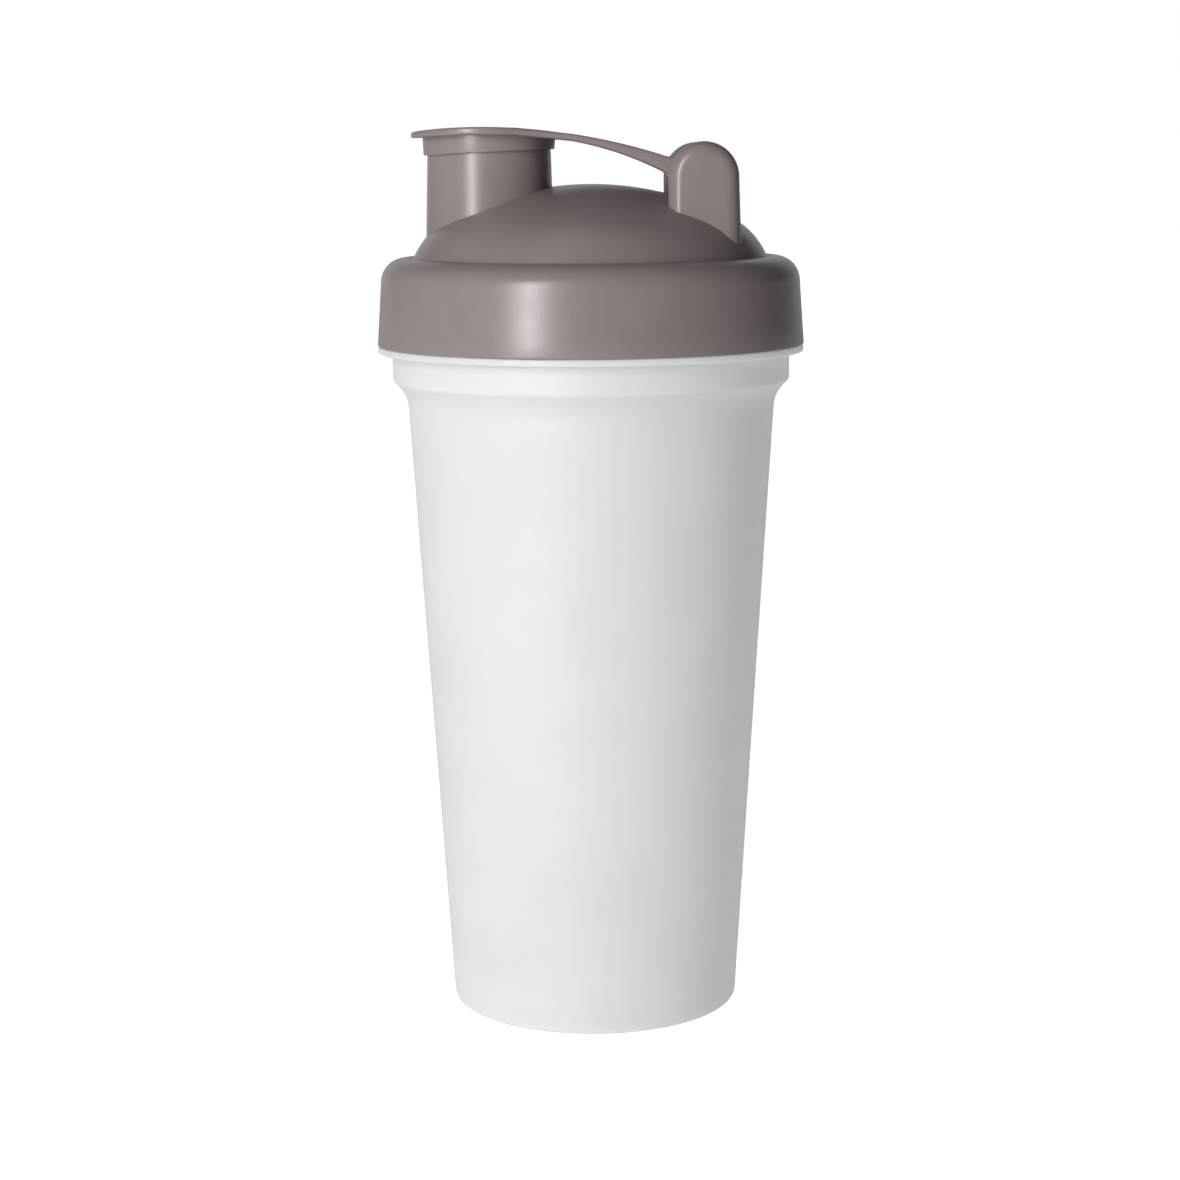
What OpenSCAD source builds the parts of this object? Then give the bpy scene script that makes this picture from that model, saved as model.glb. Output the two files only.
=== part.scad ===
// Shaker bottle: a tapered cup with a threaded neck, a screw lid with a drinking spout,
// a flip cap hinged on two moulded pegs, a seal ring and a mixing screen in the mouth.
// The origin is the centre of the foot. +Z is up, the spout is towards -X, the hinge towards +X.

/* [Cup] */
// Radius of the wall where it would reach the table
cup_base_r = 34.14; // [33:0.01:35]
// How much the radius grows for each millimetre of height
wall_slope = 0.0623; // [0.055:0.0001:0.065]
// Thickness of the cup wall
cup_wall = 1.6; // [1.2:0.1:2]
// Height at which the wall starts to flare into the neck
flare_z = 144; // [140:0.5:145]
// Width of the foot ring
foot_w = 2.6; // [1.5:0.1:4]
// Depth of the recess inside the foot ring
foot_recess = 1.4; // [0.8:0.1:2]
// Radius of the collar that the lid stops on
collar_r = 50; // [49:0.1:52]
// Thickness of the collar
collar_t = 1.5; // [1:0.1:2]
// Height of the underside of the collar
collar_z = 157.05; // [155:0.05:158]
// Outer radius of the threaded neck
neck_r = 45.9; // [45.5:0.1:46]
// Inner radius of the mouth
mouth_r = 44.1; // [43.8:0.1:44.4]
// Height of the rim
rim_z = 174.4; // [173.5:0.1:174.8]

/* [Thread] */
// Rise in one turn
pitch = 5; // [4.5:0.1:5.5]
// How far the thread stands out of its wall
thread_h = 1.4; // [1.2:0.05:1.5]
// Height of the thread's root along the axis
root_w = 2.8; // [2:0.1:3]
// Height of the thread's crest along the axis
crest_w = 1.6; // [1:0.1:2]
// Turns of thread on the cup and in the lid
turns = 1.1; // [1:0.05:1.2]

/* [Lid] */
// Outer radius of the skirt at its lower edge
skirt_r = 50.1; // [50:0.05:51]
// Outer radius of the skirt where its rounded edge starts
skirt_top_r = 49.1; // [48.9:0.05:49.4]
// Inner radius of the skirt
skirt_in_r = 47.9; // [47.8:0.05:48.1]
// Height of the flat shoulder around the dome
shoulder_z = 179.1; // [178.9:0.1:180]
// Radius of the rounded edge between skirt and shoulder
corner_r = 5.6; // [4.5:0.1:5.8]
// Height of the top of the dome
dome_z = 195.9; // [195:0.1:196.5]
// Radius of the dome's crown
dome_r = 73; // [72:0.5:75]
// Radius of the tighter curve at the dome's edge
knuckle_r = 18; // [16:0.5:19]
// Thickness of the dome
dome_t = 1.9; // [1.5:0.1:2.2]

/* [Spout] */
// Distance of the spout from the bottle's axis
spout_x = 23.4; // [22.5:0.1:24]
// Outer radius of the spout at its top
spout_r = 14.35; // [14:0.05:14.5]
// Radius of the spout's bore
bore_r = 12.6; // [12.5:0.1:12.8]
// Height of the spout's lip
lip_z = 205.1; // [204.5:0.1:205.2]

/* [Hinge] */
// Distance of the hinge axis from the bottle's axis
pivot_x = 25.85; // [25:0.05:26]
// Height of the hinge axis
pivot_z = 197.45; // [197.3:0.05:198.5]
// Radius of the ears' round tops
ear_r = 8.05; // [7.5:0.05:8.3]
// Distance from the middle to the outer face of an ear
ear_out = 22; // [21.6:0.1:23]
// Radius of the ears' outer edges
ear_edge = 3.2; // [1:0.1:3.5]
// Radius of the hinge pegs
peg_r = 2.5; // [2:0.1:3]
// Radial play of a peg in its socket
peg_play = 0.08; // [0.05:0.01:0.1]

/* [Flip cap] */
// Radius of the cap's disc
disc_r = 18.2; // [17.8:0.1:19]
// Width of the strap
strap_w = 34; // [32:0.5:34.2]
// Radius of the knuckle on the strap's end
boss_r = 5.4; // [5:0.1:5.5]

/* [Seal and screen] */
// Thickness of the seal ring
seal_t = 1.8; // [1.6:0.1:2]
// Thickness of the screen
screen_t = 1.2; // [1:0.1:1.4]
// Depth of the rib that centres the screen in the mouth
rib_h = 1.6; // [1:0.1:2]
// Side of one square hole
hole_w = 4; // [3.5:0.1:4.5]
// Width of the bars between the holes
bar_w = 1.6; // [1.4:0.1:2]

/* [Hidden] */
$fn = 96;
eps = 0.01;

// points of an arc about c, from angle a0 to angle a1
function arc(c, r, a0, a1, n = 8) = [
    for (i = [0:n]) let (a = a0 + (a1 - a0) * i / n) c + r * [cos(a), sin(a)]
];

// cup: the wall leans out by this angle
lean = atan(wall_slope);
function wall_at(z) = cup_base_r + wall_slope * z;
foot_edge = 1.8;
foot_c = [wall_at(foot_edge * (1 - sin(lean))) - foot_edge * cos(lean), foot_edge];
floor_t = 1.8;
floor_z = foot_recess + floor_t;
floor_edge = 4;
floor_c = [wall_at(floor_z + floor_edge) - cup_wall - floor_edge, floor_z + floor_edge];
// the flare: a hollow curve to 50 degrees, then a small round edge up to the neck band
flare_a = 50;
flare_r = 8.5;
band_edge = 1.6;
flare_c = [wall_at(flare_z), flare_z] + flare_r * [cos(lean), -sin(lean)];
flare_end = flare_c + flare_r * [-cos(flare_a), sin(flare_a)];
band_c = flare_end + band_edge * [-cos(flare_a), sin(flare_a)];
band_r = band_c[0] + band_edge;
inner_flare_r = flare_r + cup_wall;
inner_flare_a = acos((flare_c[0] - mouth_r) / inner_flare_r);
collar_top = collar_z + collar_t;
rim_edge = 0.6;

// thread: the lid's thread runs under the cup's, with more room below than above
cup_thread_z = 161.5;
lid_thread_drop = pitch / 2 - 0.2;
lid_thread_start = 80;
thread_sink = 0.4;
thread_runout = 24;
thread_steps = 66;

// lid
skirt_z = collar_top + 0.05;
ceiling_z = rim_z + screen_t + seal_t;
corner_c = [skirt_top_r - corner_r, shoulder_z - corner_r];
corner_in_r = skirt_in_r - corner_c[0];
corner_in_a = asin((ceiling_z - corner_c[1]) / corner_in_r);
blend_r = 33;
blend_a = acos(blend_r / dome_r);
dome_c = [0, dome_z - dome_r];
knuckle_c = dome_c + (dome_r - knuckle_r) * [cos(blend_a), sin(blend_a)];
knuckle_end = 22;
groove_r = 42.1;
groove_h = 0.4;
seat_r = 41.9;
seat_t = 1.2;
seat_drop = 1.5;
seat_z = ceiling_z - seat_drop;
dome_foot = 178;
spout_draft = 0.028;

// hinge
strap_gap = 0.4;
ear_in = strap_w / 2 + strap_gap;
peg_len = 2.8;
socket_len = 3.2;

// flip cap, seen from the side: one arch along the top, a flat and a tighter one underneath
top_arch_r = 138;
top_arch = [-25.4, 209.02];
disc_arch_r = 250;
disc_arch = [-25.4, 207.2];
strap_arch_r = 80.2;
strap_arch = [-18.9, 207.22];
disc_end_x = -9.5;
cap_tip_x = -spout_x - disc_r;
strap_end_x = 17.5;
ring_out_r = 15.5;
ring_draft = 0.05;
ring_in_r = spout_r + 0.35;
ring_top = 207.4;
ring_edge_z = 203.35;
ring_tilt = 2.43;
plug_r = 12.25;
plug_tip_r = 11.9;
plug_in_r = 10.8;
plug_z = 202;

// seal and screen
seal_in_r = seat_r + 0.45;
seal_out_r = 45.9;
screen_r = 45.6;
rib_r = 43.6;
rib_t = 1.2;
cell = hole_w + bar_w;

module cup_outline() {
    polygon(concat(
        [[foot_c[0] - foot_w, 0]],
        arc(foot_c, foot_edge, -90, -lean, 6),
        arc(flare_c, flare_r, 180 - lean, 180 - flare_a, 10),
        arc(band_c, band_edge, -flare_a, 0, 5),
        [[band_r, collar_z], [collar_r, collar_z], [collar_r, collar_top], [neck_r, collar_top]],
        arc([neck_r - rim_edge, rim_z - rim_edge], rim_edge, 0, 90, 4),
        arc([mouth_r + rim_edge, rim_z - rim_edge], rim_edge, 90, 180, 4),
        arc(flare_c, inner_flare_r, 180 - inner_flare_a, 180 - lean, 10),
        arc(floor_c, floor_edge, -lean, -90, 6),
        [[0, floor_z], [0, foot_recess], [foot_c[0] - foot_w - foot_recess / 2, foot_recess]]
    ));
}

// One run of thread on a wall of radius r: out = 1 stands outwards, out = -1 inwards.
// It starts at the angle start, where its middle is at height z0, and fades at both ends.
module thread(r, out, z0, start) {
    span = turns * 360;
    rings = [
        for (i = [0:thread_steps])
            let (
                t = span * i / thread_steps,
                fade = min(1, t / thread_runout, (span - t) / thread_runout),
                top = -thread_sink / 2 + (thread_h + thread_sink / 2) * fade,
                a = start + t,
                z = z0 + pitch * t / 360,
                inner = r - out * thread_sink,
                outer = r + out * max(top, -thread_sink / 4)
            )
            for (p = [
                [inner, -root_w / 2], [outer, -crest_w / 2], [outer, crest_w / 2], [inner, root_w / 2]
            ]) [p[0] * cos(a), p[0] * sin(a), z + p[1]]
    ];
    sides = [
        for (i = [0:thread_steps - 1], k = [0:3])
            let (a = 4 * i + k, b = 4 * i + (k + 1) % 4)
            out > 0 ? [a, b, b + 4, a + 4] : [a + 4, b + 4, b, a]
    ];
    last = 4 * thread_steps;
    ends = out > 0
        ? [[3, 2, 1, 0], [last, last + 1, last + 2, last + 3]]
        : [[0, 1, 2, 3], [last + 3, last + 2, last + 1, last]];
    polyhedron(rings, concat(sides, ends), convexity = 4);
}

module cup() {
    color([0.95, 0.95, 0.95, 0.7]) {
        rotate_extrude() cup_outline();
        thread(neck_r, 1, cup_thread_z, 0);
    }
}

module lid_outer() {
    rotate_extrude() polygon(concat(
        [[0, skirt_z], [skirt_r, skirt_z]],
        arc(corner_c, corner_r, 0, 90, 8),
        [[groove_r, shoulder_z], [groove_r - 0.5, shoulder_z - groove_h]],
        arc(knuckle_c, knuckle_r, knuckle_end, blend_a, 8),
        arc(dome_c, dome_r, blend_a + 1, 90, 12)
    ));
}

module lid_inner() {
    rotate_extrude() polygon(concat(
        [[0, skirt_z - 1], [skirt_in_r, skirt_z - 1]],
        arc(corner_c, corner_in_r, 0, corner_in_a, 6),
        [[seat_r, ceiling_z], [seat_r, seat_z]],
        [[seat_r - seat_t, seat_z], [seat_r - seat_t, ceiling_z - 1.2]],
        arc(knuckle_c, knuckle_r - dome_t, knuckle_end - 4, blend_a, 8),
        arc(dome_c, dome_r - dome_t, blend_a + 1, 90, 12)
    ));
}

module spout() {
    h = lip_z - dome_foot;
    translate([-spout_x, 0, dome_foot]) cylinder(h = h, r1 = spout_r + spout_draft * h, r2 = spout_r);
}

// One ear, on the +Y side: a block with rounded outer edges under a half disc
module ear() {
    block_h = pivot_z - dome_foot;
    edge_c = [ear_r - ear_edge, ear_out - ear_edge];
    translate([pivot_x, 0, dome_foot])
        linear_extrude(block_h) polygon(concat(
            [[-ear_r, ear_in], [ear_r, ear_in]],
            arc(edge_c, ear_edge, 0, 90, 6),
            arc([-edge_c[0], edge_c[1]], ear_edge, 90, 180, 6)
        ));
    translate([pivot_x, 0, pivot_z]) rotate([-90, 0, 0])
        rotate_extrude() polygon(concat(
            [[0, ear_in], [ear_r, ear_in]],
            arc(edge_c, ear_edge, 0, 90, 6),
            [[0, ear_out]]
        ));
}

module peg_pair(r, y) {
    for (side = [1, -1])
        translate([pivot_x, side * (ear_in - strap_gap - 1), pivot_z])
            rotate([-90 * side, 0, 0]) cylinder(h = y - ear_in + strap_gap + 1, r = r);
}

module lid() {
    color([0.57, 0.53, 0.51]) {
        difference() {
            union() {
                lid_outer();
                spout();
                ear();
                mirror([0, 1, 0]) ear();
            }
            lid_inner();
            translate([-spout_x, 0, seat_z]) cylinder(h = lip_z, r = bore_r);
            peg_pair(peg_r + peg_play, ear_in + socket_len);
        }
        thread(
            skirt_in_r, -1,
            cup_thread_z - lid_thread_drop + pitch * lid_thread_start / 360, lid_thread_start
        );
    }
}

// z on an arch of radius r with its top at c
function arch_z(c, r, x) = c[1] - r + sqrt(r * r - (x - c[0]) * (x - c[0]));

// Side view of the disc and strap, from the cap's tip to the knuckle
module cap_outline() {
    n = 16;
    web_a = 235;
    polygon(concat(
        [for (i = [0:n]) let (x = cap_tip_x + (strap_end_x - cap_tip_x) * i / n)
            [x, arch_z(top_arch, top_arch_r, x)]],
        [[pivot_x, pivot_z + boss_r - eps]],
        [[pivot_x + boss_r / 2, pivot_z], [pivot_x, pivot_z] + (boss_r - eps) * [cos(web_a), sin(web_a)]],
        [for (i = [n:-1:0]) let (x = cap_tip_x + (strap_end_x - cap_tip_x) * i / n)
            [x, x < disc_end_x ? arch_z(disc_arch, disc_arch_r, x) : arch_z(strap_arch, strap_arch_r, x)]]
    ));
}

module cap_plate() {
    reach = 60;
    intersection() {
        translate([0, disc_r + 1, 0]) rotate([90, 0, 0])
            linear_extrude(2 * disc_r + 2) cap_outline();
        union() {
            translate([-spout_x, 0, pivot_z - 10]) cylinder(h = 30, r = disc_r);
            translate([-spout_x, -strap_w / 2, pivot_z - 10]) cube([reach, strap_w, 30]);
        }
    }
}

module cap_ring() {
    h = ring_top - plug_z + 1;
    difference() {
        translate([-spout_x, 0, plug_z - 1]) difference() {
            cylinder(h = h, r1 = ring_out_r - ring_draft * h, r2 = ring_out_r);
            translate([0, 0, -1]) cylinder(h = h, r = ring_in_r);
        }
        translate([-spout_x, 0, ring_edge_z]) rotate([0, -ring_tilt, 0])
            translate([-20, -20, -10]) cube([40, 40, 10]);
    }
}

module cap_plug() {
    h = ring_top - plug_z;
    translate([-spout_x, 0, plug_z]) difference() {
        cylinder(h = h, r1 = plug_tip_r, r2 = plug_r);
        translate([0, 0, -1]) cylinder(h = h, r = plug_in_r);
    }
}

module flip_cap() {
    color([0.57, 0.53, 0.51]) {
        cap_plate();
        cap_ring();
        cap_plug();
        translate([pivot_x, strap_w / 2, pivot_z]) rotate([90, 0, 0]) cylinder(h = strap_w, r = boss_r);
        peg_pair(peg_r, ear_in + peg_len);
    }
}

module lid_gasket() {
    edge = 0.5;
    z0 = rim_z + screen_t;
    color([0.85, 0.85, 0.83]) rotate_extrude() polygon([
        [seal_in_r, z0 + edge], [seal_in_r + edge, z0], [seal_out_r - edge, z0], [seal_out_r, z0 + edge],
        [seal_out_r, z0 + seal_t - edge], [seal_out_r - edge, z0 + seal_t],
        [seal_in_r + edge, z0 + seal_t], [seal_in_r, z0 + seal_t - edge]
    ]);
}

module mixing_screen() {
    grid_r = rib_r - rib_t;
    reach = floor(grid_r / cell);
    color([0.57, 0.53, 0.51]) {
        translate([0, 0, rim_z]) linear_extrude(screen_t) difference() {
            circle(r = screen_r);
            for (i = [-reach:reach], k = [-reach:reach])
                if (norm([i, k]) * cell + hole_w * 0.8 < grid_r)
                    translate([i, k] * cell) square(hole_w, center = true);
        }
        translate([0, 0, rim_z - rib_h]) rotate_extrude()
            translate([grid_r, 0]) square([rib_t, rib_h + eps]);
    }
}

cup();
mixing_screen();
lid_gasket();
lid();
flip_cap();
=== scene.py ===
import math

import bmesh
import bpy
from mathutils import Matrix, Vector


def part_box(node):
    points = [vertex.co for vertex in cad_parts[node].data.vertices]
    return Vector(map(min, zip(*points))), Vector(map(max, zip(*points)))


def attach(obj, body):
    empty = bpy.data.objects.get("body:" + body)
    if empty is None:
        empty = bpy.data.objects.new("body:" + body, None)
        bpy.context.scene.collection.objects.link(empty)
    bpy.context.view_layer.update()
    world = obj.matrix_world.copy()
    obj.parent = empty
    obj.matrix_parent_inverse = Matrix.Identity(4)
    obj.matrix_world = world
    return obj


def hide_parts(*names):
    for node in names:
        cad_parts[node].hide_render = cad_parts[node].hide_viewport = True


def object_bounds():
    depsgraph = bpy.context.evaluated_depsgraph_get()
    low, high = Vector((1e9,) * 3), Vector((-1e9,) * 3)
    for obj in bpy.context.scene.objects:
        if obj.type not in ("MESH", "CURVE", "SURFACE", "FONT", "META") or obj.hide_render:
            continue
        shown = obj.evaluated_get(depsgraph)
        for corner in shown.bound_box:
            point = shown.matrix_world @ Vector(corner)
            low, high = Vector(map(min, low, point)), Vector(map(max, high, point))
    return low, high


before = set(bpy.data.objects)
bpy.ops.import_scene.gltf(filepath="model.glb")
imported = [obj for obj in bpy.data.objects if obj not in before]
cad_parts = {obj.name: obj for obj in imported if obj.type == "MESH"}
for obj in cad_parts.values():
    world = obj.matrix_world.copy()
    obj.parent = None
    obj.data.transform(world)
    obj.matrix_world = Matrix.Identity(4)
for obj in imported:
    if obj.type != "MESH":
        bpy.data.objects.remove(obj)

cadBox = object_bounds()
mm = 0.001


def letGo():
    # leave edit mode and drop every selection, so an operator acts only on the new piece
    if bpy.context.object and bpy.context.object.mode != "OBJECT":
        bpy.ops.object.mode_set(mode="OBJECT")
    bpy.ops.object.select_all(action="DESELECT")


def takeUp(piece):
    letGo()
    piece.select_set(True)
    bpy.context.view_layer.objects.active = piece


def edit(piece):
    takeUp(piece)
    bpy.ops.object.mode_set(mode="EDIT")
    bpy.ops.mesh.select_mode(type="VERT")
    bpy.ops.mesh.select_all(action="DESELECT")


def pick(test, kind="VERT"):
    # select by place: test gets a point in mm, and for faces and edges all their corners must pass
    mesh = bmesh.from_edit_mesh(bpy.context.object.data)
    bpy.ops.mesh.select_mode(type=kind)
    for v in mesh.verts:
        v.select_set(False)
    if kind == "VERT":
        for v in mesh.verts:
            v.select_set(bool(test(v.co / mm)))
    else:
        for part in (mesh.edges if kind == "EDGE" else mesh.faces):
            part.select_set(all(test(v.co / mm) for v in part.verts))
    mesh.select_flush_mode()
    bmesh.update_edit_mesh(bpy.context.object.data)


def named(name):
    piece = bpy.context.object
    piece.name = name
    piece.data.name = name
    return piece


def settle(piece):
    # the piece's place goes into its mesh, and its object goes to the origin
    takeUp(piece)
    bpy.ops.object.transform_apply(location=True, rotation=True, scale=True)
    return piece


def arc(cx, cz, r, fromDeg, toDeg, steps):
    turn = [math.radians(fromDeg + (toDeg - fromDeg) * i / steps) for i in range(steps + 1)]
    return [(cx + r * math.cos(a), cz + r * math.sin(a)) for a in turn]


def turned(name, outline, sides=192, cx=0.0, ring=False):
    # a turned piece: one ring is extruded and scaled from point to point of the outline (radius, height)
    letGo()
    radius, height = outline[0]
    bpy.ops.mesh.primitive_circle_add(vertices=sides, radius=radius * mm, location=(cx * mm, 0, height * mm),
                                      fill_type="NOTHING" if ring else "TRIFAN")
    piece = settle(named(name))
    bpy.ops.object.mode_set(mode="EDIT")
    bpy.ops.mesh.select_mode(type="VERT")
    pick(lambda p: math.hypot(p.x - cx, p.y) > radius * 0.5)
    for nextRadius, nextHeight in outline[1:] + ([outline[0]] if ring else []):
        bpy.ops.mesh.extrude_region_move(
            TRANSFORM_OT_translate={"value": (0, 0, (nextHeight - height) * mm)})
        if nextRadius > 0:
            grow = nextRadius / radius
            bpy.ops.transform.resize(value=(grow, grow, 1), center_override=(cx * mm, 0, 0))
            radius = nextRadius
        else:
            bpy.ops.mesh.merge(type="CENTER")
        height = nextHeight
    bpy.ops.mesh.select_all(action="SELECT")
    bpy.ops.mesh.remove_doubles(threshold=0.001 * mm)
    bpy.ops.mesh.normals_make_consistent(inside=False)
    letGo()
    return piece


def carve(piece, tool, how):
    # union, difference or intersection with a tool piece, which is then thrown away
    takeUp(piece)
    step = piece.modifiers.new(how.lower(), "BOOLEAN")
    step.operation = how
    step.solver = "MANIFOLD"
    step.object = tool
    bpy.ops.object.modifier_apply(modifier=step.name)
    bpy.data.objects.remove(tool)
    return piece


def tidyMesh(piece, angle=32):
    edit(piece)
    bpy.ops.mesh.select_all(action="SELECT")
    bpy.ops.mesh.remove_doubles(threshold=0.002 * mm)
    bpy.ops.mesh.dissolve_degenerate(threshold=0.001 * mm)
    letGo()
    takeUp(piece)
    bpy.ops.object.shade_smooth_by_angle(angle=math.radians(angle))
    letGo()
    return piece


def threadRun(name, wall, out, z0, startDeg, t):
    # one run of screw thread: a small block's end face is extruded and turned up the helix,
    # and its crest sinks into the wall at both ends
    span = t["turns"] * 360
    stepDeg = span / t["steps"]
    root = wall - out * t["sink"]
    letGo()
    bpy.ops.mesh.primitive_plane_add(size=1, location=(0, 0, 0), rotation=(math.pi / 2, 0, 0))
    piece = settle(named(name))
    bpy.ops.object.mode_set(mode="EDIT")
    # the plane's four corners become the thread's section: two on the root, two on the crest
    for isCrest in (False, True):
        for up in (-1, 1):
            pick(lambda p: (p.x > 0) == isCrest and (p.z > 0) == (up > 0) and 400 < abs(p.x) < 600)
            x = wall + out * 0.02 if isCrest else root
            z = z0 + up * (t["crestW"] if isCrest else t["rootW"]) / 2
            corner = Vector((0.5 if isCrest else -0.5, 0, 0.5 * up))
            bpy.ops.transform.translate(value=Vector((x, 0, z)) * mm - corner)
    bpy.ops.mesh.select_all(action="SELECT")
    bpy.ops.transform.rotate(value=-math.radians(startDeg), orient_axis="Z", center_override=(0, 0, 0))
    height = 0.02
    for i in range(1, t["steps"] + 1):
        run = stepDeg * i
        fade = min(1, run / t["runOut"], (span - run) / t["runOut"])
        target = max(0.02, t["height"] * math.sin(fade * math.pi / 2))
        bpy.ops.mesh.extrude_region_move(
            TRANSFORM_OT_translate={"value": (0, 0, t["pitch"] * stepDeg / 360 * mm)})
        bpy.ops.transform.rotate(value=-math.radians(stepDeg), orient_axis="Z", center_override=(0, 0, 0))
        if abs(target - height) > 1e-6:
            mesh = bmesh.from_edit_mesh(piece.data)
            chosen = [v for v in mesh.verts if v.select]
            crest = sorted(chosen, key=lambda v: out * math.hypot(v.co.x, v.co.y))[-2:]
            for v in chosen:
                if v not in crest:
                    v.select_set(False)
            grow = (wall + out * target) / (wall + out * height)
            bpy.ops.transform.resize(value=(grow, grow, 1), center_override=(0, 0, 0))
            for v in chosen:
                v.select_set(True)
            mesh.select_flush(True)
            bmesh.update_edit_mesh(piece.data)
            height = target
    bpy.ops.mesh.select_all(action="SELECT")
    bpy.ops.mesh.remove_doubles(threshold=0.0005 * mm)
    bpy.ops.mesh.normals_make_consistent(inside=False)
    letGo()
    return piece


cup = {
    "baseR": 34.14,        # where the wall would reach the table
    "slope": 0.0623,       # growth of the radius with height
    "wall": 1.6,
    "flareZ": 144.0,       # where the wall starts to open into the neck
    "flareR": 8.5,
    "flareDeg": 50.0,
    "bandEdge": 1.6,
    "collarZ": 157.05,
    "collarT": 1.5,
    "collarEdge": 0.32,
    "neckR": 45.9,
    "mouthR": 44.1,
    "rimEdge": 0.75,
    "footEdge": 1.8,
    "footW": 2.6,
    "recess": 1.4,
    "floorT": 1.8,
    "floorEdge": 4.0,
}
thread = {"pitch": 5.0, "height": 1.4, "rootW": 2.8, "crestW": 1.6, "turns": 1.1, "sink": 0.4,
          "runOut": 24.0, "steps": 99, "cupZ": 161.5, "drop": 2.3, "lidStart": 80.0}
cupLow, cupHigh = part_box("cup")


def wallAt(z):
    # outer radius of the cup's wall at a height
    return cup["baseR"] + cup["slope"] * z


def makeCup():
    c = cup
    rimZ = cupHigh.z / mm
    collarR = cupHigh.x / mm
    lean = math.degrees(math.atan(c["slope"]))
    leanCos, leanSin = math.cos(math.radians(lean)), math.sin(math.radians(lean))
    flareCos, flareSin = math.cos(math.radians(c["flareDeg"])), math.sin(math.radians(c["flareDeg"]))
    footC = wallAt(c["footEdge"] * (1 - leanSin)) - c["footEdge"] * leanCos
    flareCx = wallAt(c["flareZ"]) + c["flareR"] * leanCos
    flareCz = c["flareZ"] - c["flareR"] * leanSin
    bandCx = flareCx - (c["flareR"] + c["bandEdge"]) * flareCos
    bandCz = flareCz + (c["flareR"] + c["bandEdge"]) * flareSin
    bandR = bandCx + c["bandEdge"]
    innerR = c["flareR"] + c["wall"]
    innerDeg = math.degrees(math.acos((flareCx - c["mouthR"]) / innerR))
    floorZ = c["recess"] + c["floorT"]
    floorCx = wallAt(floorZ + c["floorEdge"]) - c["wall"] - c["floorEdge"]
    footIn = footC - c["footW"]
    top = c["collarZ"] + c["collarT"]
    e = c["collarEdge"]
    outline = [(1.1, c["recess"] - 0.35), (1.5, c["recess"] - 0.3), (1.9, c["recess"])]   # the gate mark
    outline += [(r, c["recess"]) for r in (8, 16, 24)]
    outline += arc(footIn - 1.4, c["recess"] - 0.7, 0.7, 90, 20, 4)
    outline += [(footIn - 0.5, 0.5)] + arc(footIn, 0.45, 0.45, 200, 270, 4)
    outline += arc(footC, c["footEdge"], c["footEdge"], -90, -lean, 10)
    outline += [(wallAt(z), z) for z in range(10, 141, 10)]
    outline += arc(flareCx, flareCz, c["flareR"], 180 - lean, 180 - c["flareDeg"], 16)
    outline += arc(bandCx, bandCz, c["bandEdge"], -c["flareDeg"], 0, 8)[1:]
    outline += arc(bandR + 0.5, c["collarZ"] - 0.5, 0.5, 180, 90, 4)      # under the collar
    outline += arc(collarR - e, c["collarZ"] + e, e, -90, 0, 5) + arc(collarR - e, top - e, e, 0, 90, 5)
    outline += arc(c["neckR"] + 0.4, top + 0.4, 0.4, 270, 180, 4)
    outline += arc(c["neckR"] - c["rimEdge"], rimZ - c["rimEdge"], c["rimEdge"], 0, 90, 6)
    outline += arc(c["mouthR"] + c["rimEdge"], rimZ - c["rimEdge"], c["rimEdge"], 90, 180, 6)
    outline += arc(flareCx, flareCz, innerR, 180 - innerDeg, 180 - lean, 12)
    outline += [(wallAt(z) - c["wall"], z) for z in range(140, 9, -10)]
    outline += arc(floorCx, floorZ + c["floorEdge"], c["floorEdge"], -lean, -90, 10)
    outline += [(r, floorZ) for r in (20, 10, 2)] + [(0, floorZ)]
    piece = turned("frostedCup", outline)
    carve(piece, threadRun("cupThread", c["neckR"], 1, thread["cupZ"], 0, thread), "UNION")
    return tidyMesh(piece)


lid = {
    "skirtTopR": 49.1,     # where the rounded edge starts
    "skirtInR": 47.9,
    "skirtEdge": 0.5,
    "shoulderZ": 179.1,
    "cornerR": 5.6,
    "domeZ": 195.9,
    "domeR": 73.0,
    "knuckleR": 18.0,
    "blendR": 33.0,
    "domeT": 1.9,
    "ceilingZ": 177.4,
    "grooveR": 41.95,
    "seatR": 41.9,
    "seatT": 1.2,
    "seatDrop": 1.5,
}
spout = {"x": -23.4, "outR": 14.35, "boreR": 12.6, "lipZ": 205.1, "footZ": 180.0, "draft": 0.028,
         "edge": 0.6}
hinge = {"x": 25.85, "z": 197.45, "earR": 8.05, "earIn": 17.4, "earOut": 22.0, "edge": 3.2, "inEdge": 0.5,
         "lean": 0.7, "footZ": 174.0, "pegR": 2.5, "socketR": 2.58, "socketEnd": 20.6}
lidLow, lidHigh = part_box("lid")


def lidShape():
    d = lid
    skirtR, skirtZ = lidHigh.x / mm, lidLow.z / mm
    blend = math.degrees(math.acos(d["blendR"] / d["domeR"]))
    domeC = d["domeZ"] - d["domeR"]
    gap = d["domeR"] - d["knuckleR"]
    kx, kz = gap * math.cos(math.radians(blend)), domeC + gap * math.sin(math.radians(blend))
    return skirtR, skirtZ, blend, domeC, kx, kz


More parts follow.
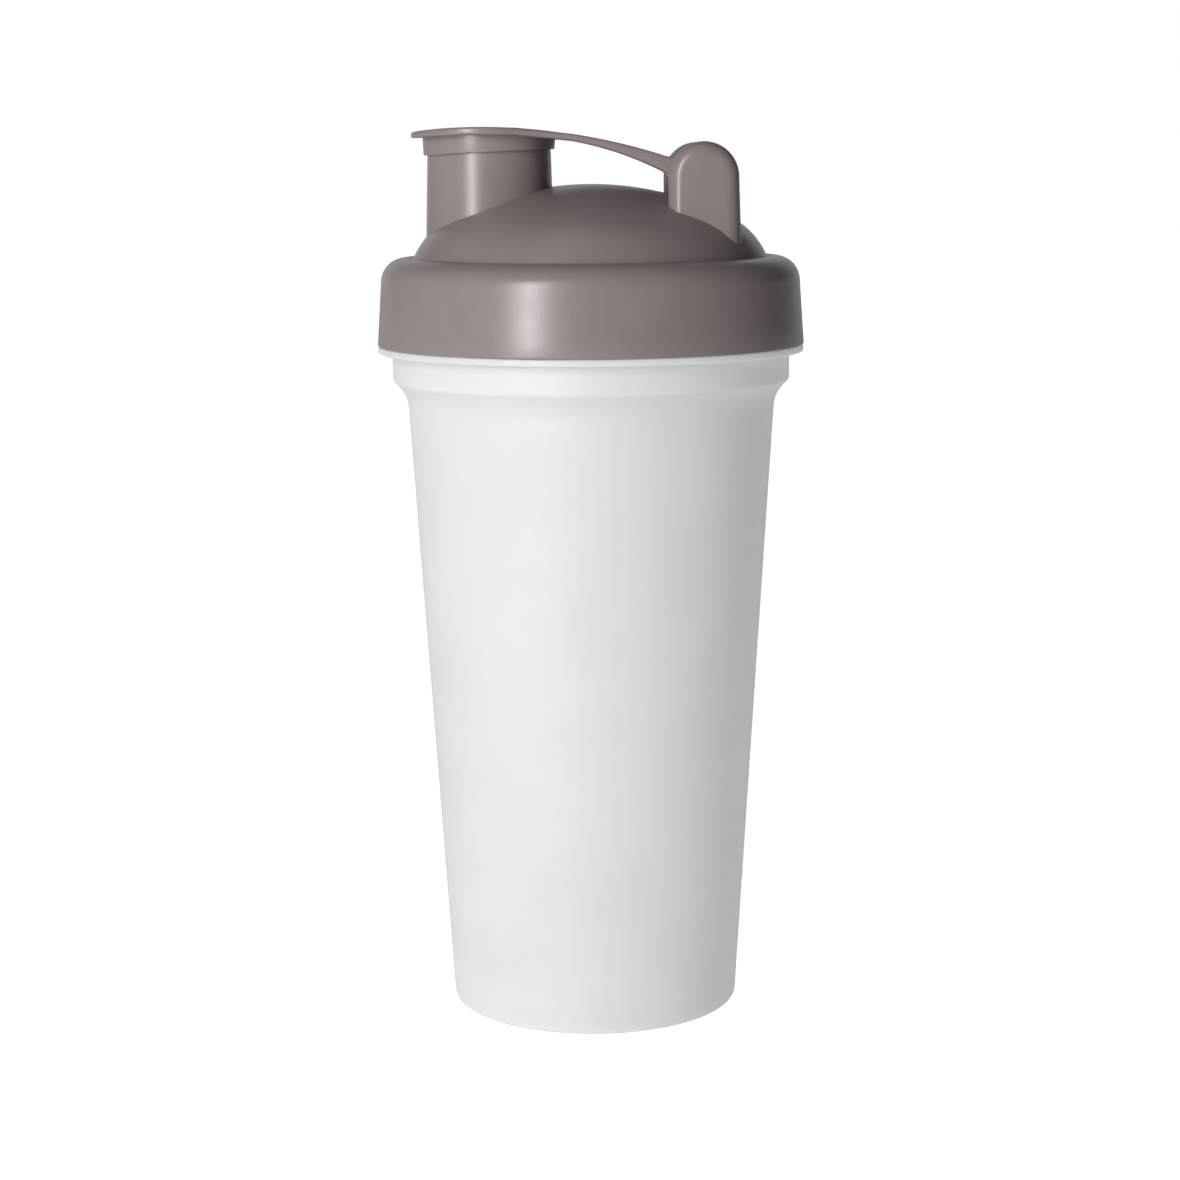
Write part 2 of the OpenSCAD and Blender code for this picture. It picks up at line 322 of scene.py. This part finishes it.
def makeEar():
    # the lower half of a disc is flattened and drawn down into the dome, then given its thickness
    h = hinge
    letGo()
    bpy.ops.mesh.primitive_circle_add(vertices=96, radius=h["earR"] * mm, fill_type="NGON",
                                      location=(h["x"] * mm, -h["earIn"] * mm, h["z"] * mm),
                                      rotation=(math.pi / 2, 0, 0))
    ear = settle(named("ear"))
    bpy.ops.object.mode_set(mode="EDIT")
    pick(lambda p: p.z < h["z"] - 0.01)
    bpy.ops.transform.resize(value=(1, 1, 0), center_override=(0, 0, h["z"] * mm))
    bpy.ops.transform.translate(value=(0, 0, (h["footZ"] - h["z"]) * mm))
    widen = 1 + h["lean"] / (2 * h["earR"])
    bpy.ops.transform.resize(value=(widen, 1, 1), center_override=((h["x"] - h["earR"]) * mm, 0, 0))
    bpy.ops.mesh.select_all(action="SELECT")
    thick = h["earOut"] - h["earIn"]
    bpy.ops.mesh.extrude_region_move(TRANSFORM_OT_translate={"value": (0, -thick * mm, 0)})
    pick(lambda p: p.y < -h["earOut"] + 0.01, "EDGE")
    bpy.ops.mesh.bevel(offset=h["edge"] * mm, segments=10, affect="EDGES")
    pick(lambda p: p.y > -h["earIn"] - 0.01, "EDGE")
    bpy.ops.mesh.bevel(offset=h["inEdge"] * mm, segments=3, affect="EDGES")
    bpy.ops.mesh.select_all(action="SELECT")
    bpy.ops.mesh.normals_make_consistent(inside=False)
    letGo()
    return ear


def makeLid():
    d, s, h = lid, spout, hinge
    skirtR, skirtZ, blend, domeC, kx, kz = lidShape()
    e = d["skirtEdge"]
    outline = [(40, skirtZ)] + arc(skirtR - e, skirtZ + e, e, -90, 0, 5)
    cornerX, cornerZ = d["skirtTopR"] - d["cornerR"], d["shoulderZ"] - d["cornerR"]
    outline += [(skirtR + (d["skirtTopR"] - skirtR) * t, skirtZ + (cornerZ - skirtZ) * t)
                for t in (0.3, 0.6)]
    outline += arc(cornerX, cornerZ, d["cornerR"], 0, 90, 20)
    outline += [(d["grooveR"] + 0.85, d["shoulderZ"] - 0.02), (d["grooveR"] + 0.35, d["shoulderZ"] - 0.12)]
    outline += arc(d["grooveR"], d["shoulderZ"] + 0.3, 0.62, 290, 205, 6)
    outline += arc(kx, kz, d["knuckleR"], 24.5, blend, 22)
    outline += arc(0, domeC, d["domeR"], blend + 1.5, 88.5, 24) + [(0, d["domeZ"])]
    body = turned("screwLid", outline)
    lipZ = s["lipZ"]
    foot = s["outR"] + s["draft"] * (lipZ - s["footZ"])
    tube = [(foot, s["footZ"]), (s["outR"] + 0.05, lipZ - s["edge"] - 1.5)]
    tube += arc(s["outR"] - s["edge"], lipZ - s["edge"], s["edge"], 0, 90, 8) + [(0, lipZ)]
    carve(body, turned("spout", tube, 128, s["x"]), "UNION")
    for side in (1, -1):
        ear = makeEar()
        if side == 1:
            takeUp(ear)
            bpy.ops.transform.mirror(constraint_axis=(False, True, False), center_override=(0, 0, 0))
            settle(ear)
            edit(ear)
            bpy.ops.mesh.select_all(action="SELECT")
            bpy.ops.mesh.normals_make_consistent(inside=False)
        carve(body, ear, "UNION")
    seatZ = d["ceilingZ"] - d["seatDrop"]
    hollow = [(30, skirtZ - 2), (d["skirtInR"] + 0.5, skirtZ - 2), (d["skirtInR"] + 0.5, skirtZ + 0.1)]
    hollow += arc(d["skirtInR"] + 0.5, skirtZ + 0.6, 0.5, 270, 180, 4)
    inR = d["skirtInR"] - cornerX
    inDeg = math.degrees(math.asin((d["ceilingZ"] - cornerZ) / inR))
    hollow += arc(cornerX, cornerZ, inR, 0, inDeg, 8)
    hollow += [(d["seatR"], d["ceilingZ"])]
    hollow += arc(d["seatR"] - 0.4, seatZ + 0.4, 0.4, 0, -90, 4)
    hollow += arc(d["seatR"] - d["seatT"] + 0.4, seatZ + 0.4, 0.4, 270, 180, 4)
    hollow += arc(kx, kz, d["knuckleR"] - d["domeT"], 19, blend, 14)
    hollow += arc(0, domeC, d["domeR"] - d["domeT"], blend + 2, 88, 16) + [(0, d["domeZ"] - d["domeT"])]
    carve(body, turned("hollow", hollow), "DIFFERENCE")
    bore = [(s["boreR"] + 0.3, 178), (s["boreR"], lipZ - s["edge"])]
    bore += arc(s["boreR"] + s["edge"], lipZ - s["edge"], s["edge"], 180, 100, 6)
    bore += [(s["boreR"] + s["edge"], lipZ + 2), (0, lipZ + 2)]
    carve(body, turned("bore", bore, 128, s["x"]), "DIFFERENCE")
    letGo()
    bpy.ops.mesh.primitive_cylinder_add(vertices=48, radius=h["socketR"] * mm, depth=2 * h["socketEnd"] * mm,
                                        location=(h["x"] * mm, 0, h["z"] * mm), rotation=(math.pi / 2, 0, 0))
    carve(body, settle(named("sockets")), "DIFFERENCE")
    run = threadRun("lidThread", d["skirtInR"], -1,
                    thread["cupZ"] - thread["drop"] + thread["pitch"] * thread["lidStart"] / 360,
                    thread["lidStart"], thread)
    carve(body, run, "UNION")
    return tidyMesh(body)


cap = {
    "discR": 18.2,
    "discSides": 68,       # a multiple of four, so that both sides of the strap start alike
    "topArch": (-25.4, 209.02, 138.0),
    "discArch": (-25.4, 207.2, 250.0),     # the underside is flat under the disc
    "strapArch": (-18.9, 207.22, 80.2),    # and falls faster under the strap
    "discEnd": -9.5,
    "strapEnd": 25.8,
    "bossR": 5.4,
    "bossProud": 0.13,     # the knuckle stands a little wider than the strap
    "edge": 0.6,
    "ringOutR": 15.5,
    "ringDraft": 0.05,
    "ringInR": 14.7,
    "ringTop": 207.4,
    "ringEdge": 0.22,
    "ringEdgeZ": 203.35,
    "ringTilt": 2.43,
    "plugR": 12.25,
    "plugTipR": 11.9,
    "plugInR": 10.8,
    "plugZ": 202.0,
}
capLow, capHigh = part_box("flip_cap")


def guideSheet(name, line, width):
    # a strip that follows a side view line; the cap's faces are pressed onto it, then it is thrown away
    letGo()
    bpy.ops.mesh.primitive_plane_add(size=1, location=(0, 0, 0))
    sheet = settle(named(name))
    bpy.ops.object.mode_set(mode="EDIT")
    pick(lambda p: p.x > 0)
    bpy.ops.mesh.delete(type="VERT")
    bpy.ops.mesh.select_all(action="SELECT")
    bpy.ops.transform.resize(value=(1, width * mm, 1), center_override=(0, 0, 0))
    bpy.ops.transform.translate(value=(line[0][0] * mm + 0.5, 0, line[0][1] * mm))
    for (x0, z0), (x1, z1) in zip(line, line[1:]):
        bpy.ops.mesh.extrude_region_move(
            TRANSFORM_OT_translate={"value": ((x1 - x0) * mm, 0, (z1 - z0) * mm)})
    letGo()
    return sheet


def pressOnto(piece, group, sheet):
    takeUp(piece)
    step = piece.modifiers.new("press", "SHRINKWRAP")
    step.wrap_method = "PROJECT"
    step.use_project_z = True
    step.use_positive_direction = True
    step.use_negative_direction = True
    step.vertex_group = group
    step.target = sheet
    bpy.ops.object.modifier_apply(modifier=step.name)
    bpy.data.objects.remove(sheet)


def archZ(arch, x):
    cx, top, r = arch
    return top - r + math.sqrt(r * r - (x - cx) ** 2)


def makeCap():
    c, s, h = cap, spout, hinge
    tipX = s["x"] - c["discR"]
    letGo()
    bpy.ops.mesh.primitive_circle_add(vertices=c["discSides"], radius=c["discR"] * mm, fill_type="NGON",
                                      location=(s["x"] * mm, 0, 200 * mm))
    plate = settle(named("flipTop"))
    bpy.ops.object.mode_set(mode="EDIT")
    bpy.ops.mesh.select_mode(type="FACE")
    bpy.ops.mesh.select_all(action="SELECT")
    for i in range(11):
        bpy.ops.mesh.inset(thickness=1.5 * mm)
    bpy.ops.mesh.merge(type="CENTER")
    # the strap grows out of the disc's edge
    strapX = s["x"] + 6.3
    pick(lambda p: p.x > strapX and math.hypot(p.x - s["x"], p.y) > c["discR"] - 0.01, "EDGE")
    x = s["x"] + c["discR"] + 1
    bpy.ops.mesh.extrude_region_move(TRANSFORM_OT_translate={"value": (0.001 * mm, 0, 0)})
    bpy.ops.transform.resize(value=(0, 1, 1), center_override=(x * mm, 0, 0))
    while x < c["strapEnd"] - 0.01:
        step = min(1.2, c["strapEnd"] - x)
        bpy.ops.mesh.extrude_region_move(TRANSFORM_OT_translate={"value": (step * mm, 0, 0)})
        x += step
    bpy.ops.mesh.select_all(action="SELECT")
    bpy.ops.mesh.normals_make_consistent(inside=False)
    bpy.ops.mesh.extrude_region_move(TRANSFORM_OT_translate={"value": (0, 0, 1 * mm)})
    bpy.ops.mesh.select_all(action="SELECT")
    bpy.ops.mesh.normals_make_consistent(inside=False)
    letGo()
    for group, test in (("top", lambda z: z > 200.5), ("under", lambda z: z < 200.5)):
        plate.vertex_groups.new(name=group).add(
            [v.index for v in plate.data.vertices if test(v.co.z / mm)], 1, "REPLACE")
    n = 60
    run = [tipX - 1 + (17.5 - tipX + 1) * i / n for i in range(n + 1)]
    topLine = [(x, archZ(c["topArch"], x)) for x in run if x < 17]
    topLine += [(17.5, 202.18), (18.5, 202.04), (19.5, 201.98), (20.5, 202.02), (21.5, 202.2), (23, 202.55),
                (25.85, 202.8), (27.3, 202.8)]
    underLine = [(x, archZ(c["discArch"] if x < c["discEnd"] else c["strapArch"], x)) for x in run]
    underLine += [(22.75, 193.1), (27.3, 193.0)]
    pressOnto(plate, "top", guideSheet("topGuide", topLine, 44))
    pressOnto(plate, "under", guideSheet("underGuide", underLine, 44))
    edit(plate)
    bpy.ops.mesh.select_mode(type="EDGE")
    bpy.ops.mesh.edges_select_sharp(sharpness=math.radians(55))
    bpy.ops.mesh.bevel(offset=c["edge"] * mm, segments=4, affect="EDGES")
    letGo()
    halfW = max(v.co.y for v in plate.data.vertices if v.co.x > 0.005) + c["bossProud"] * mm
    bpy.ops.mesh.primitive_cylinder_add(vertices=96, radius=c["bossR"] * mm, depth=2 * halfW,
                                        location=(h["x"] * mm, 0, h["z"] * mm), rotation=(math.pi / 2, 0, 0))
    boss = settle(named("boss"))
    bpy.ops.object.mode_set(mode="EDIT")
    bpy.ops.mesh.select_mode(type="EDGE")
    bpy.ops.mesh.select_all(action="DESELECT")
    bpy.ops.mesh.edges_select_sharp(sharpness=math.radians(55))
    bpy.ops.mesh.bevel(offset=c["edge"] * mm, segments=4, affect="EDGES")
    letGo()
    carve(plate, boss, "UNION")
    pegEnd = capHigh.y / mm
    letGo()
    bpy.ops.mesh.primitive_cylinder_add(vertices=48, radius=h["pegR"] * mm, depth=2 * pegEnd * mm,
                                        location=(h["x"] * mm, 0, h["z"] * mm), rotation=(math.pi / 2, 0, 0))
    pegs = settle(named("pegs"))
    bpy.ops.object.mode_set(mode="EDIT")
    bpy.ops.mesh.select_mode(type="EDGE")
    bpy.ops.mesh.select_all(action="DESELECT")
    bpy.ops.mesh.edges_select_sharp(sharpness=math.radians(55))
    bpy.ops.mesh.bevel(offset=0.4 * mm, segments=3, affect="EDGES")
    letGo()
    carve(plate, pegs, "UNION")
    # skirt ring that closes round the spout, its lower edge a little aslant
    low = c["ringEdgeZ"]
    e = c["ringEdge"]
    outLow = c["ringOutR"] - c["ringDraft"] * (c["ringTop"] - low)
    ring = turned("ring", arc(outLow - e, low + e, e, -90, 0, 4)
                  + [(c["ringOutR"], c["ringTop"]), (c["ringInR"], c["ringTop"])]
                  + arc(c["ringInR"] + e / 2, low + e / 2, e / 2, 180, 270, 2), 144, s["x"], True)
    edit(ring)
    pick(lambda p: p.z < low + 0.5)
    bpy.ops.transform.rotate(value=math.radians(c["ringTilt"]), orient_axis="Y",
                             center_override=(s["x"] * mm, 0, c["ringEdgeZ"] * mm))
    carve(plate, ring, "UNION")
    plug = [(c["plugTipR"] - 0.5, c["plugZ"])]
    plug += arc(c["plugTipR"] - 0.5, c["plugZ"] + 0.5, 0.5, -90, 0, 4)[1:]
    plug += [(c["plugR"], c["ringTop"]), (c["plugInR"], c["ringTop"])]
    plug += [(c["plugInR"], c["plugZ"] + 0.3), (c["plugInR"] + 0.3, c["plugZ"])]
    carve(plate, turned("plug", plug, 128, s["x"], True), "UNION")
    return tidyMesh(plate)


seal = {"edge": 0.7, "gap": 0.45}      # gap: between the ring and the lid's seat inside it
screen = {"ribR": 43.6, "ribT": 1.2, "ribH": 1.6, "hole": 4.0, "bar": 1.6, "edge": 0.3}
sealLow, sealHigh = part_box("lid_gasket")
screenLow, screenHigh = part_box("mixing_screen")


def makeSeal():
    outR = sealHigh.x / mm
    inR = lid["seatR"] + seal["gap"]
    low, high = sealLow.z / mm, sealHigh.z / mm
    e = seal["edge"]
    outline = arc(outR - e, low + e, e, -90, 0, 6) + arc(outR - e, high - e, e, 0, 90, 6)
    outline += arc(inR + e, high - e, e, 90, 180, 6) + arc(inR + e, low + e, e, 180, 270, 6)
    return tidyMesh(turned("sealRing", outline, 160, 0, True), 50)


def makeScreen():
    c = screen
    outR = screenHigh.x / mm
    high = screenHigh.z / mm
    low = screenLow.z / mm + c["ribH"]
    gridR = c["ribR"] - c["ribT"]
    cell = c["hole"] + c["bar"]
    count = 2 * math.ceil(outR / cell) - 1
    letGo()
    bpy.ops.mesh.primitive_grid_add(x_subdivisions=count, y_subdivisions=count, size=count * cell * mm,
                                    location=(0, 0, low * mm))
    grid = settle(named("mixingScreen"))
    bpy.ops.object.mode_set(mode="EDIT")
    bpy.ops.mesh.select_mode(type="FACE")
    bpy.ops.mesh.select_all(action="DESELECT")
    mesh = bmesh.from_edit_mesh(grid.data)
    for face in mesh.faces:
        middle = face.calc_center_median() / mm
        face.select_set(middle.xy.length + c["hole"] * 0.8 < gridR)
    bmesh.update_edit_mesh(grid.data)
    bpy.ops.mesh.inset(thickness=c["bar"] / 2 * mm, use_individual=True)
    bpy.ops.mesh.delete(type="FACE")
    bpy.ops.mesh.select_all(action="SELECT")
    bpy.ops.mesh.extrude_region_move(TRANSFORM_OT_translate={"value": (0, 0, (high - low) * mm)})
    bpy.ops.mesh.select_all(action="SELECT")
    bpy.ops.mesh.normals_make_consistent(inside=False)
    letGo()
    e = c["edge"]
    disc = turned("disc", [(20, low)] + arc(outR - e, low + e, e, -90, 0, 4)
                  + arc(outR - e, high - e, e, 0, 90, 4) + [(0, high)], 160)
    carve(grid, disc, "INTERSECT")
    rib = turned("rib", [(c["ribR"], low + 0.5)] + arc(c["ribR"] - e, screenLow.z / mm + e, e, 0, -90, 3)
                 + arc(gridR + e, screenLow.z / mm + e, e, 270, 180, 3) + [(gridR, low + 0.5)], 160, 0, True)
    carve(grid, rib, "UNION")
    return tidyMesh(grid)


print("cup")
cupPiece = makeCup()
print("lid")
lidPiece = makeLid()
print("flip cap")
capPiece = makeCap()
print("seal ring and mixing screen")
sealPiece = makeSeal()
screenPiece = makeScreen()


def toLinear(code):
    # an sRGB hex value as the linear colour that a shader takes
    parts = [int(code[i:i + 2], 16) / 255 for i in (1, 3, 5)]
    return tuple(c / 12.92 if c <= 0.04045 else ((c + 0.055) / 1.055) ** 2.4 for c in parts) + (1,)


def add(tree, kind, inputs=None, **settings):
    # one node with its settings, and its inputs as values or as the outputs that feed them
    node = tree.nodes.new("ShaderNode" + kind)
    for name, value in settings.items():
        setattr(node, name, value)
    for name, value in (inputs or {}).items():
        if isinstance(value, bpy.types.NodeSocket):
            tree.links.new(value, node.inputs[name])
        else:
            node.inputs[name].default_value = value
    return node


def newMaterial(name):
    made = bpy.data.materials.new(name)
    made.use_nodes = True
    tree = made.node_tree
    tree.nodes.clear()
    place = add(tree, "TexCoord").outputs["Object"]
    return made, tree, place


def noise(tree, place, sizeMm, detail=2.0):
    return add(tree, "TexNoise", {"Vector": place, "Scale": 1 / (sizeMm * mm), "Detail": detail,
                                  "Roughness": 0.5}).outputs["Fac"]


def spread(tree, source, low, high):
    # a pattern's middle range stretched between two values
    return add(tree, "MapRange", {"Value": source, "From Min": 0.3, "From Max": 0.7, "To Min": low,
                                  "To Max": high}).outputs["Result"]


def blendColours(tree, source, first, second):
    ramp = add(tree, "ValToRGB", {"Fac": source})
    ramp.color_ramp.elements[0].position = 0.3
    ramp.color_ramp.elements[0].color = toLinear(first)
    ramp.color_ramp.elements[1].position = 0.7
    ramp.color_ramp.elements[1].color = toLinear(second)
    return ramp.outputs["Color"]


taupe = {
    "light": "#8B807E",
    "dark": "#857A78",
    "cloudMm": 14.0,       # pigment that flowed a little unevenly into the mould
    "roughness": (0.29, 0.34),
    "ior": 1.49,
    "grainMm": 0.5,        # the mould's eroded skin is about 0.05 mm, drawn ten times as coarse to show
    "grainDepth": 0.018,
    "ringMm": 1.6,         # turning marks left in the mould, drawn wider than the real 0.2 mm
    "ringDepth": 0.010,
}


def moulding(name, t):
    # dyed polypropylene from a spark-eroded mould: an even satin colour with soft, broad highlights
    made, tree, place = newMaterial(name)
    colour = blendColours(tree, noise(tree, place, t["cloudMm"], 4), t["light"], t["dark"])
    rough = spread(tree, noise(tree, place, t["grainMm"] * 6, 3), *t["roughness"])
    flat = add(tree, "Mapping", {"Vector": place, "Scale": (0.02, 0.02, 1)}).outputs["Vector"]
    rings = noise(tree, flat, t["ringMm"], 3)
    ringBump = add(tree, "Bump", {"Height": rings, "Distance": t["ringDepth"] * mm, "Strength": 1.0})
    bump = add(tree, "Bump", {"Height": noise(tree, place, t["grainMm"]), "Distance": t["grainDepth"] * mm,
                              "Strength": 1.0, "Normal": ringBump.outputs["Normal"]})
    skin = add(tree, "BsdfPrincipled", {"Base Color": colour, "Roughness": rough, "IOR": t["ior"],
                                        "Normal": bump.outputs["Normal"]})
    add(tree, "OutputMaterial", {"Surface": skin.outputs["BSDF"]})
    return made


frost = {
    "light": "#DADADA",
    "dark": "#D5D5D5",
    "cloudMm": 22.0,
    "roughness": (0.45, 0.55),
    "ior": 1.49,
    "through": 0.32,       # the share of light that passes without being scattered inside the wall
    "glow": 0.14,          # painted glow: the wall gives off even light of its own everywhere, so the cup looks brighter than the lamps light it
    "scatterMm": 4.0,
    "grainMm": 0.6,
    "grainDepth": 0.010,
}


def frosted(name, t):
    # undyed polypropylene with a matt-etched skin: milky, lets light through but no clear sight
    made, tree, place = newMaterial(name)
    colour = blendColours(tree, noise(tree, place, t["cloudMm"], 3), t["light"], t["dark"])
    rough = spread(tree, noise(tree, place, t["grainMm"] * 8, 3), *t["roughness"])
    bump = add(tree, "Bump", {"Height": noise(tree, place, t["grainMm"]), "Distance": t["grainDepth"] * mm,
                              "Strength": 1.0})
    # the emission below is a painted glow: the cup's wall shines with its own even light
    skin = add(tree, "BsdfPrincipled", {
        "Base Color": colour, "Roughness": rough, "IOR": t["ior"], "Normal": bump.outputs["Normal"],
        "Transmission Weight": t["through"], "Subsurface Weight": 1.0,
        "Subsurface Radius": (1, 1, 1), "Subsurface Scale": t["scatterMm"] * mm,
        "Emission Color": (1, 1, 1, 1), "Emission Strength": t["glow"]})
    add(tree, "OutputMaterial", {"Surface": skin.outputs["BSDF"]})
    return made


silicone = {"light": "#E9E8E6", "dark": "#DFDEDC", "cloudMm": 9.0, "roughness": (0.50, 0.62), "ior": 1.41,
            "scatterMm": 1.5, "grainMm": 0.5, "grainDepth": 0.008}


def rubber(name, t):
    # pressed silicone: soft, dull and slightly see-through at its edges
    made, tree, place = newMaterial(name)
    colour = blendColours(tree, noise(tree, place, t["cloudMm"], 3), t["light"], t["dark"])
    rough = spread(tree, noise(tree, place, t["grainMm"] * 5, 3), *t["roughness"])
    bump = add(tree, "Bump", {"Height": noise(tree, place, t["grainMm"]), "Distance": t["grainDepth"] * mm,
                              "Strength": 1.0})
    skin = add(tree, "BsdfPrincipled", {
        "Base Color": colour, "Roughness": rough, "IOR": t["ior"], "Normal": bump.outputs["Normal"],
        "Subsurface Weight": 1.0, "Subsurface Radius": (1, 1, 1), "Subsurface Scale": t["scatterMm"] * mm})
    add(tree, "OutputMaterial", {"Surface": skin.outputs["BSDF"]})
    return made


print("materials")
lidPlastic = moulding("taupePolypropylene", taupe)
cupPlastic = frosted("frostedPolypropylene", frost)
sealRubber = rubber("whiteSilicone", silicone)
for piece, body, node, slot, material in (
        (cupPiece, "cup", "cup", "frosted_cup", cupPlastic),
        (lidPiece, "lid", "lid", "lid_plastic", lidPlastic),
        (capPiece, "cap", "flip_cap", "lid_plastic", lidPlastic),
        (sealPiece, "seal", "lid_gasket", "seal_rubber", sealRubber),
        (screenPiece, "screen", "mixing_screen", "lid_plastic", lidPlastic)):
    piece.data.materials.clear()
    piece.data.materials.append(material)
    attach(piece, body)
    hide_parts(node)

studio = {
    "floorSize": 12.0,
    "floor": "#D0D0D0",
    "floorGlow": 1.0,      # the sweep has its own lamps and looks white
    "floorBounce": 0.33,   # what those lamps throw back at the bottle
    "backLight": 0.62,     # the bright wall behind
    "backEdge": (0.70, 0.92),
    "roomLight": 0.04,
    "leftLight": 0.12,
    "leftEdge": (-0.35, -0.85),
    "keySide": 32.0,       # degrees to the left of the camera
    "keyRise": 13.0,
    "keyLooksAt": 0.75,    # share of the bottle's height
    "keyAway": 0.95,
    "keySize": (0.14, 0.68),
    "keyPower": 8.0,
}


def makeFloor(s):
    letGo()
    bpy.ops.mesh.primitive_plane_add(size=s["floorSize"], location=(0, 0, 0))
    floor = named("floor")
    made = bpy.data.materials.new("whiteSweep")
    made.use_nodes = True
    tree = made.node_tree
    tree.nodes.clear()
    glow = add(tree, "MapRange", {"Value": add(tree, "LightPath").outputs["Is Camera Ray"],
                                  "To Min": s["floorBounce"], "To Max": s["floorGlow"]}).outputs["Result"]
    paper = add(tree, "BsdfPrincipled", {"Base Color": toLinear(s["floor"]), "Roughness": 0.9,
                                         "Emission Color": (1, 1, 1, 1), "Emission Strength": glow})
    clear = add(tree, "BsdfTransparent")
    # seen from below it isn't there, so the foot can be looked at
    sides = add(tree, "MixShader", {"Fac": add(tree, "NewGeometry").outputs["Backfacing"]})
    tree.links.new(paper.outputs["BSDF"], sides.inputs[1])
    tree.links.new(clear.outputs["BSDF"], sides.inputs[2])
    add(tree, "OutputMaterial", {"Surface": sides.outputs["Shader"]})
    floor.data.materials.append(made)


def makeWorld(s):
    # a bright wall behind, a dim room in front and a little light from the left; the camera sees plain white
    world = bpy.data.worlds.new("studio")
    bpy.context.scene.world = world
    world.use_nodes = True
    tree = world.node_tree
    tree.nodes.clear()
    way = add(tree, "SeparateXYZ", {"Vector": add(tree, "TexCoord").outputs["Generated"]})
    back = add(tree, "MapRange", {"Value": way.outputs["Y"], "From Min": s["backEdge"][0],
                                  "From Max": s["backEdge"][1], "To Min": s["roomLight"],
                                  "To Max": s["backLight"]}, interpolation_type="SMOOTHSTEP")
    left = add(tree, "MapRange", {"Value": way.outputs["X"], "From Min": s["leftEdge"][0],
                                  "From Max": s["leftEdge"][1], "To Min": 0, "To Max": s["leftLight"]},
               interpolation_type="SMOOTHSTEP")
    both = add(tree, "Math", {0: back.outputs["Result"], 1: left.outputs["Result"]}, operation="ADD")
    light = add(tree, "Background", {"Color": (1, 1, 1, 1), "Strength": both.outputs["Value"]})
    seen = add(tree, "Background", {"Color": (1, 1, 1, 1), "Strength": 1.0})
    shown = add(tree, "MixShader", {"Fac": add(tree, "LightPath").outputs["Is Camera Ray"]})
    tree.links.new(light.outputs["Background"], shown.inputs[1])
    tree.links.new(seen.outputs["Background"], shown.inputs[2])
    add(tree, "OutputWorld", {"Surface": shown.outputs["Shader"]})


def makeKey(s):
    # a tall softbox at the front left that looks at the lid
    turn, up = math.radians(s["keySide"]), math.radians(s["keyRise"])
    back = Vector((-math.sin(turn) * math.cos(up), -math.cos(turn) * math.cos(up), math.sin(up)))
    lamp = bpy.data.lights.new("keyLight", "AREA")
    lamp.shape = "RECTANGLE"
    lamp.size, lamp.size_y = s["keySize"]
    lamp.energy = s["keyPower"]
    holder = bpy.data.objects.new("keyLight", lamp)
    bpy.context.scene.collection.objects.link(holder)
    holder.location = Vector((0, 0, cadBox[1].z * s["keyLooksAt"])) + back * s["keyAway"]
    holder.rotation_euler = back.to_track_quat("Z", "Y").to_euler()


print("floor and light")
makeFloor(studio)
makeWorld(studio)
makeKey(studio)

view = {
    "x": -0.0006,
    "y": -0.6215,
    "z": 0.2024,
    "tilt": 9.38,          # degrees down
    "roll": -0.4,
    "lens": 80.2,
    "sensor": 36.0,
}

print("camera")
camera = bpy.data.objects.new("camera", bpy.data.cameras.new("camera"))
bpy.context.scene.collection.objects.link(camera)
camera.data.lens = view["lens"]
camera.data.sensor_width = view["sensor"]
camera.location = (view["x"], view["y"], view["z"])
camera.rotation_euler = (Matrix.Rotation(math.radians(90 - view["tilt"]), 3, "X")
                         @ Matrix.Rotation(math.radians(view["roll"]), 3, "Z")).to_euler()
camera.data.clip_start = 0.01
bpy.context.scene.camera = camera
bpy.context.scene.view_settings.view_transform = "Standard"
